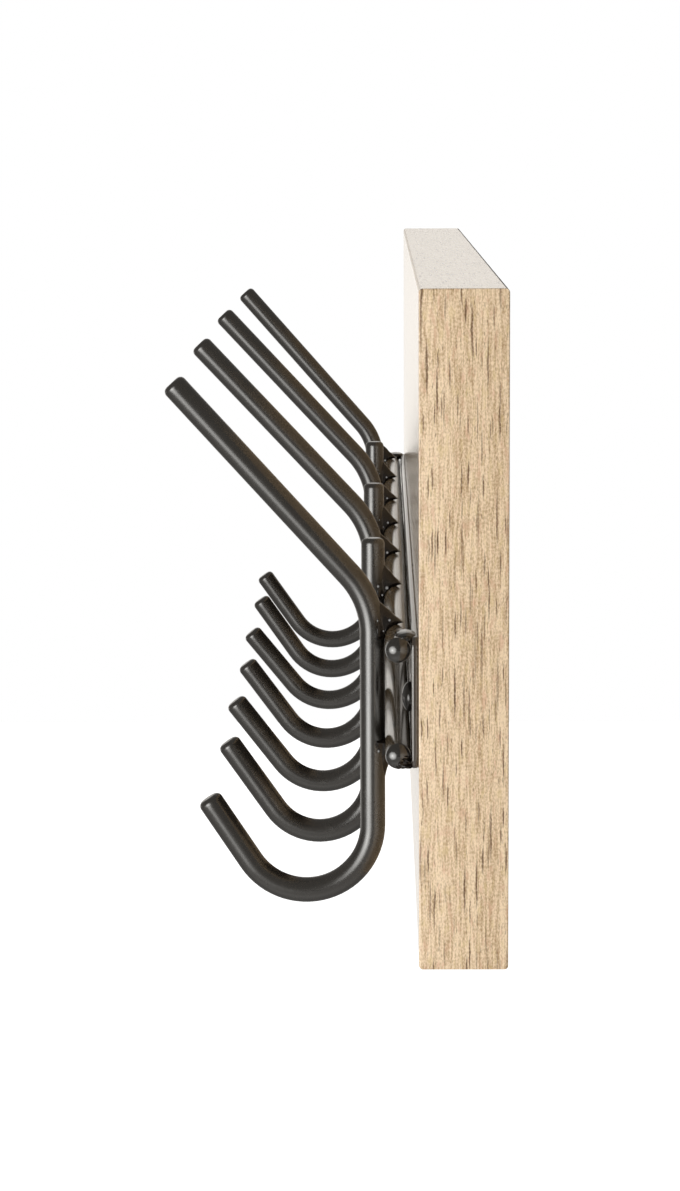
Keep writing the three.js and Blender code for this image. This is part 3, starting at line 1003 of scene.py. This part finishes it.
def buildHooks():
    rowLevel = middleOf("mounting_strip").z
    for index in range(hook["count"]):
        kind = "single" if index % 2 else "double"
        node = f"{kind}_hook_{index + 1}"
        low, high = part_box(node)
        centre = Vector((middle(low.x, high.x), high.y - hook["wireRadius"], rowLevel))
        mesh = sweepWire(walkHook(centre, index), seed=index * hook["rippleSeed"])
        finishPiece(node, mesh, "satinCoat", sharpAngle=hook["sharpAngle"])


buildHooks()
print("hooks built")


# welds

weld = {
    "acrossSteps": 36,
    "outSteps": 22,
    "turn": 72,
    "wireCore": 2.2 * mm,
    "rootRadius": 3.15 * mm,
    # how far past the rod's middle, how high over it, how the flank hollows, how the tip lifts
    # and how fast the bead narrows to it
    "upper": {"pastRod": 1.6 * mm, "rise": 8.2 * mm, "hollow": 1.2, "tipLift": 0.9 * mm,
              "narrowing": 12},
    "lower": {"pastRod": 0.4 * mm, "rise": 10.2 * mm, "hollow": 3.0, "tipLift": 0.3 * mm,
              "narrowing": 5},
    # how deep the underside lies in the rod, and where and how fast it comes up to the tip
    "sink": 0.3 * mm,
    "liftStart": 0.45,
    "liftPower": 1.5,
    "sidePower": 0.7,
    "lump": 0.20 * mm,
    "lumpsPerMetre": 600,
    "ridge": 0.25,
    "ridges": 16,
    "ridgeCurve": 2,
    "ridgeEnd": 0.96,
    "seed": 5.7,
    "sharpAngle": 60,
    # drops of spatter: degrees round the wire, share of the way out, radius
    "drops": ((26, 0.90, 0.46 * mm), (60, 0.32, 0.44 * mm), (42, 0.85, 0.28 * mm),
              (-26, 0.90, 0.44 * mm), (-57, 0.35, 0.40 * mm), (-40, 0.80, 0.28 * mm)),
    # where they face, how far out of the bead they sit, how flat they are
    "dropFacing": (0.9, -0.35, 0.07),
    "dropOut": 0.35,
    "dropFlat": 0.22,
    # how much their place round the wire, their way out and their size vary
    "dropSpread": (9, 0.15, 0.4),
    "dropSeed": (3.1, 1.5),
    # half sizes of the beads at the rods' ends, and how blunt they are along and across
    "upperRodWeld": {"half": (4.6 * mm, 2.4 * mm, 1.15 * mm), "inward": 0.55, "over": 0.8 * mm,
                     "outward": -0.3 * mm, "blunt": (0.75, 0.9), "lumps": 0.07,
                     "lumpScale": 2.2},
    "lowerRodWeld": {"half": (4.8 * mm, 2.7 * mm, 1.8 * mm), "inward": 0.55, "over": 0.35 * mm,
                     "outward": 0.6 * mm, "blunt": (0.6, 0.62), "lumps": 0.24,
                     "lumpScale": 4.5},
    "rodLumpSpread": 900,
}


def rodSurface(offset):
    # how high the rod stands at a distance from its middle line
    radius = rod["radius"]
    return sqrt(max(radius * radius - offset * offset, 0))


def armLean(index, rise):
    # how far a double hook's wire has bent forward at a height over the row's middle
    start, radius, angle, _ = armBend(index)
    along = min(max(rise - start, 0), radius * sin(angle))
    return radius - sqrt(radius * radius - along * along)


def beadPoint(sizes, crossing, turn, share, lean):
    # turn goes round the wire from the wall side, share goes out from it to the bead's edge
    reach = crossing + sizes["pastRod"] - weld["rootRadius"]
    edge = weld["rootRadius"] + reach * cos(turn) ** sizes["narrowing"]
    distance = weld["wireCore"] + (edge - weld["wireCore"]) * share
    x = distance * sin(turn)
    y = distance * cos(turn)
    body = sqrt(max(1 - (turn / radians(weld["turn"])) ** 2, 0))
    lift = sizes["tipLift"] * body
    toe = rodSurface(edge * cos(turn) - crossing) + lift
    outer = max((share - weld["liftStart"]) / (1 - weld["liftStart"]), 0) ** weld["liftPower"]
    under = rodSurface(y - crossing) - weld["sink"] + (lift + weld["sink"]) * outer
    top = toe + (sizes["rise"] - toe) * (1 - share) ** sizes["hollow"]
    top = under + max(top - under, 0) * body ** weld["sidePower"]
    return Vector((x, y - lean(top), top)), Vector((x, y - lean(under), under))


def beadMesh(sizes, crossing, up, lean, seed):
    # the top and the underside share their outer edge, and the inside lies in the wire
    bm = bmesh.new()
    limit = radians(weld["turn"])
    lastI = weld["acrossSteps"]
    lastJ = weld["outSteps"]
    top = []
    under = []
    for i in range(lastI + 1):
        turn = -limit + 2 * limit * i / lastI
        topRow = []
        underRow = []
        for j in range(lastJ + 1):
            share = j / lastJ
            high, low = beadPoint(sizes, crossing, turn, share, lean)
            wave = noise.noise(high * weld["lumpsPerMetre"] + Vector((seed, seed, 0)))
            ridge = sin(share * weld["ridges"] + cos(turn) * weld["ridgeCurve"])
            inside = sin(pi * min(share, weld["ridgeEnd"]))
            inside *= cos(turn * 90 / weld["turn"])
            high.z += weld["lump"] * (wave + weld["ridge"] * ridge) * inside
            high.z = max(high.z, low.z)
            topRow.append(bm.verts.new((high.x, high.y, up * high.z)))
            edge = j == lastJ or i in (0, lastI)
            underRow.append(topRow[-1] if edge else bm.verts.new((low.x, low.y, up * low.z)))
        top.append(topRow)
        under.append(underRow)
    for i in range(lastI):
        for j in range(lastJ):
            bm.faces.new((top[i][j], top[i + 1][j], top[i + 1][j + 1], top[i][j + 1]))
            bm.faces.new((under[i][j], under[i][j + 1], under[i + 1][j + 1], under[i + 1][j]))
        wall = list(dict.fromkeys((top[i][0], under[i][0], under[i + 1][0], top[i + 1][0])))
        bm.faces.new(wall)
    return bm


def addSpatter(bm, sizes, crossing, up, lean, seed):
    # small drops of spatter on the bead's sides, for the mesh's second finish
    turnSpread, shareSpread, sizeSpread = weld["dropSpread"]
    seedStep, seedLevel = weld["dropSeed"]
    for index, (angle, share, radius) in enumerate(weld["drops"]):
        pick = noise.noise(Vector((seed + index * seedStep, index, seedLevel)))
        turn = radians(angle + turnSpread * pick)
        share = min(share + shareSpread * pick, 1)
        high, _ = beadPoint(sizes, crossing, turn, share, lean)
        outward = Vector(weld["dropFacing"]).normalized()
        outward.x = copysign(outward.x, angle)
        size = radius * (1 + sizeSpread * pick)
        place = Vector((high.x, high.y, up * high.z)) + outward * size * weld["dropOut"]
        spot = (Matrix.Translation(place) @ outward.to_track_quat("Z", "Y").to_matrix().to_4x4()
                @ Matrix.Diagonal((size, size, size * weld["dropFlat"], 1)))
        drop = bmesh.ops.create_icosphere(bm, subdivisions=3, radius=1, matrix=spot)
        for face in {face for vert in drop["verts"] for face in vert.link_faces}:
            face.material_index = 1


def buildHookWelds():
    rowLevel = middleOf("mounting_strip").z
    rodDepth = middleOf("upper_rod").y
    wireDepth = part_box("single_hook_4")[1].y - hook["wireRadius"]
    crossing = rodDepth - wireDepth
    for index in range(hook["count"]):
        for level, up in (("upper", 1), ("lower", -1)):
            node = f"hook_weld_{index + 1}_{level}"
            rodLevel = middleOf(f"{level}_rod").z

            def lean(rise):
                bent = up > 0 and index % 2 == 0
                return armLean(index, rodLevel - rowLevel + rise) if bent else 0

            seed = index * weld["seed"] + up
            bm = beadMesh(weld[level], crossing, up, lean, seed)
            addSpatter(bm, weld[level], crossing, up, lean, seed)
            mesh = turnMesh(meshFrom(bm), (middleOf(node).x, wireDepth, rodLevel))
            piece = finishPiece(node, mesh, "weldCoat", sharpAngle=weld["sharpAngle"])
            piece.data.materials.append(finishes["spatterCoat"])


def bluntened(value, power):
    return copysign(abs(value) ** power, value)


def buildRodWelds():
    # a blunt bead in the corner between each rod's end and the strip
    stripLow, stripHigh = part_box("mounting_strip")
    for level, up, edge in (("upper", 1, stripHigh.z), ("lower", -1, stripLow.z)):
        sizes = weld[f"{level}RodWeld"]
        half = Vector(sizes["half"])
        along, across = sizes["blunt"]
        for side in ("left", "right"):
            node = f"rod_weld_{level}_{side}"
            centre = middleOf(node)
            centre.x += copysign(1, centre.x) * sizes["outward"]
            centre.y = stripLow.y - half.y * sizes["inward"]
            centre.z = edge + up * (sizes["over"] - half.z)
            bm = bmesh.new()
            bmesh.ops.create_icosphere(bm, subdivisions=5, radius=1)
            shift = centre * weld["rodLumpSpread"]
            for vert in bm.verts:
                wave = noise.noise(vert.co * sizes["lumpScale"] + shift)
                blunt = Vector((bluntened(vert.co.x, along) * half.x,
                                bluntened(vert.co.y, across) * half.y,
                                bluntened(vert.co.z, across) * half.z))
                vert.co = blunt * (1 - sizes["lumps"] * (0.5 - wave)) + centre
            finishPiece(node, meshFrom(bm), "weldCoat", sharpAngle=weld["sharpAngle"])


buildHookWelds()
buildRodWelds()
print("welds built")


# screws

stripScrew = {
    "headRadius": 3.1 * mm,
    "headHeight": 2 * mm,
    "rim": 0.45 * mm,
    "rimRound": (0.15 * mm, 0.12 * mm),
    "domeSteps": 8,
    "shankRadius": 1.6 * mm,
    "coreRadius": 1.2 * mm,
    "length": 14 * mm,
    "pitch": 1.4 * mm,
    "tip": 3 * mm,
    "sides": 36,
    "crossLength": 3.3 * mm,
    "crossWidth": 0.85 * mm,
    "crossDepth": 1.15 * mm,
    # how far the first screw's cross is turned, and how much farther each next one's is
    "firstTurn": 23,
    "nextTurn": 31,
}

plateScrew = {
    "headRadius": 2.9 * mm,
    "headHeight": 1.3 * mm,
    "rim": 0.12 * mm,
    "shankRadius": 1.5 * mm,
    "coreRadius": 1.1 * mm,
    "length": 12 * mm,
    "pitch": 1.2 * mm,
    "tip": 3 * mm,
    "sides": 32,
    "crossLength": 3.1 * mm,
    "crossWidth": 0.8 * mm,
    "crossDepth": 1.0 * mm,
    "turns": {"outer": 17, "inner": 58},
}

thread = {
    "ringsPerTurn": 8,
    "ridgeSteepness": 4,
    "point": 0.03 * mm,
    # the cross narrows to these shares of its length and width, and starts over the head
    "crossBottom": (0.55, 0.865),
    "crossOver": 0.5 * mm,
}


def threadedMesh(sizes, head):
    # a thread that climbs the shank, then the head's own profile; the tip points down Z
    bm = bmesh.new()
    rings = []
    sides = sizes["sides"]
    count = int(sizes["length"] / (sizes["pitch"] / thread["ringsPerTurn"]))
    depth = sizes["shankRadius"] - sizes["coreRadius"]
    for i in range(count + 1):
        height = -sizes["length"] + sizes["length"] * i / count
        taper = min((height + sizes["length"]) / sizes["tip"], 1)
        radii = []
        for j in range(sides):
            phase = (height / sizes["pitch"] - j / sides) % 1
            ridge = max(1 - abs(phase - 0.5) * thread["ridgeSteepness"], 0)
            radii.append(max((sizes["coreRadius"] + depth * ridge) * taper, thread["point"]))
        rings.append(ringOf(bm, radii, height))
    rings += [ringOf(bm, [radius] * sides, height) for radius, height in head]
    ringFaces(bm, rings)
    return meshFrom(bm)


def crossCutters(sizes, top):
    cutters = []
    for turn in (0, 90):
        bm = bmesh.new()
        bmesh.ops.create_cube(bm, size=1)
        for vert in bm.verts:
            above = vert.co.z > 0
            alongShare, acrossShare = (1, 1) if above else thread["crossBottom"]
            vert.co.x *= sizes["crossLength"] * alongShare
            vert.co.y *= sizes["crossWidth"] * acrossShare
            vert.co.z = top + (thread["crossOver"] if above else -sizes["crossDepth"])
        cutters.append(turnMesh(meshFrom(bm), (0, 0, 0), ("Z", turn)))
    return cutters


def panHeadMesh():
    sizes = stripScrew
    radius = sizes["headRadius"]
    inset, lift = sizes["rimRound"]
    head = [(radius - inset, 0), (radius, lift), (radius, sizes["rim"])]
    for i in range(1, sizes["domeSteps"] + 1):
        turn = pi / 2 * i / sizes["domeSteps"]
        head.append((max(radius * cos(turn), poleRadius),
                     sizes["rim"] + (sizes["headHeight"] - sizes["rim"]) * sin(turn)))
    return cutMesh(threadedMesh(sizes, head), crossCutters(sizes, sizes["headHeight"]))


def countersunkMesh():
    sizes = plateScrew
    radius = sizes["headRadius"]
    top = sizes["headHeight"]
    body = dict(sizes, length=sizes["length"] - top)
    head = [(radius, top - sizes["rim"]), (radius, top)]
    mesh = cutMesh(threadedMesh(body, head), crossCutters(sizes, top))
    mesh.transform(Matrix.Translation((0, 0, -top)))
    return mesh


def buildScrews():
    pan = panHeadMesh()
    for index in range(strip["screwCount"]):
        node = f"strip_screw_{index + 1}"
        place = seatOf(node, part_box(node)[0].y + stripScrew["headHeight"])
        turn = stripScrew["firstTurn"] + stripScrew["nextTurn"] * index
        mesh = turnMesh(pan.copy(), place, ("Z", turn), ("X", 90))
        finishPiece(node, mesh, "screwCoat")
    sunk = countersunkMesh()
    for side in ("left", "right"):
        for rank in ("outer", "inner"):
            node = f"hanger_screw_{side}_{rank}"
            place = seatOf(node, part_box(node)[1].y)
            mesh = turnMesh(sunk.copy(), place, ("Z", plateScrew["turns"][rank]), ("X", -90))
            finishPiece(node, mesh, "zinc")


buildScrews()
print("screws built")


# keyhole plates

hanger = {
    "cornerRadius": 3 * mm,
    "arris": 0.2 * mm,
    "keyRadius": 4.6 * mm,
    "slotRadius": 2.3 * mm,
    "travel": 7.5 * mm,
    "keySteps": 36,
    "slotSteps": 20,
    "screwInset": 6 * mm,
    "holeRadius": 1.8 * mm,
    "mouthRadius": 3.2 * mm,
    "mouthDepth": 1.3 * mm,
    "mouthSides": 40,
    "cutOverrun": 0.5 * mm,
}


def keyholeOutline():
    side = degrees(acos(hanger["slotRadius"] / hanger["keyRadius"]))
    level = -hanger["travel"] / 2
    lower = arcPoints((0, level), hanger["keyRadius"], 180 - side, 360 + side,
                      hanger["keySteps"])
    upper = arcPoints((0, level + hanger["travel"]), hanger["slotRadius"], 0, 180,
                      hanger["slotSteps"])
    return lower + upper


def countersinkCutter(x, thickness):
    overrun = hanger["cutOverrun"]
    slope = (hanger["mouthRadius"] - hanger["holeRadius"]) / hanger["mouthDepth"]
    profile = [
        (hanger["holeRadius"], -thickness - overrun),
        (hanger["holeRadius"], -hanger["mouthDepth"]),
        (hanger["mouthRadius"] + slope * overrun, overrun),
    ]
    return turnMesh(latheMesh(profile, hanger["mouthSides"]), (x, 0, 0))


def buildHangers():
    for side in ("left", "right"):
        node = f"hanger_plate_{side}"
        low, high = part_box(node)
        width = high.x - low.x
        thickness = high.y - low.y
        outline = roundedRectangle(width, high.z - low.z, hanger["cornerRadius"])
        plate = plateMesh([outline, keyholeOutline()], thickness, hanger["arris"])
        turnMesh(plate, (0, 0, -thickness / 2))
        reach = width / 2 - hanger["screwInset"]
        mesh = cutMesh(plate, [countersinkCutter(x, thickness) for x in (-reach, reach)])
        turnMesh(mesh, seatOf(node, high.y), ("Y", 180), ("X", 90))
        finishPiece(node, mesh, "zinc")


buildHangers()
print("keyhole plates built")
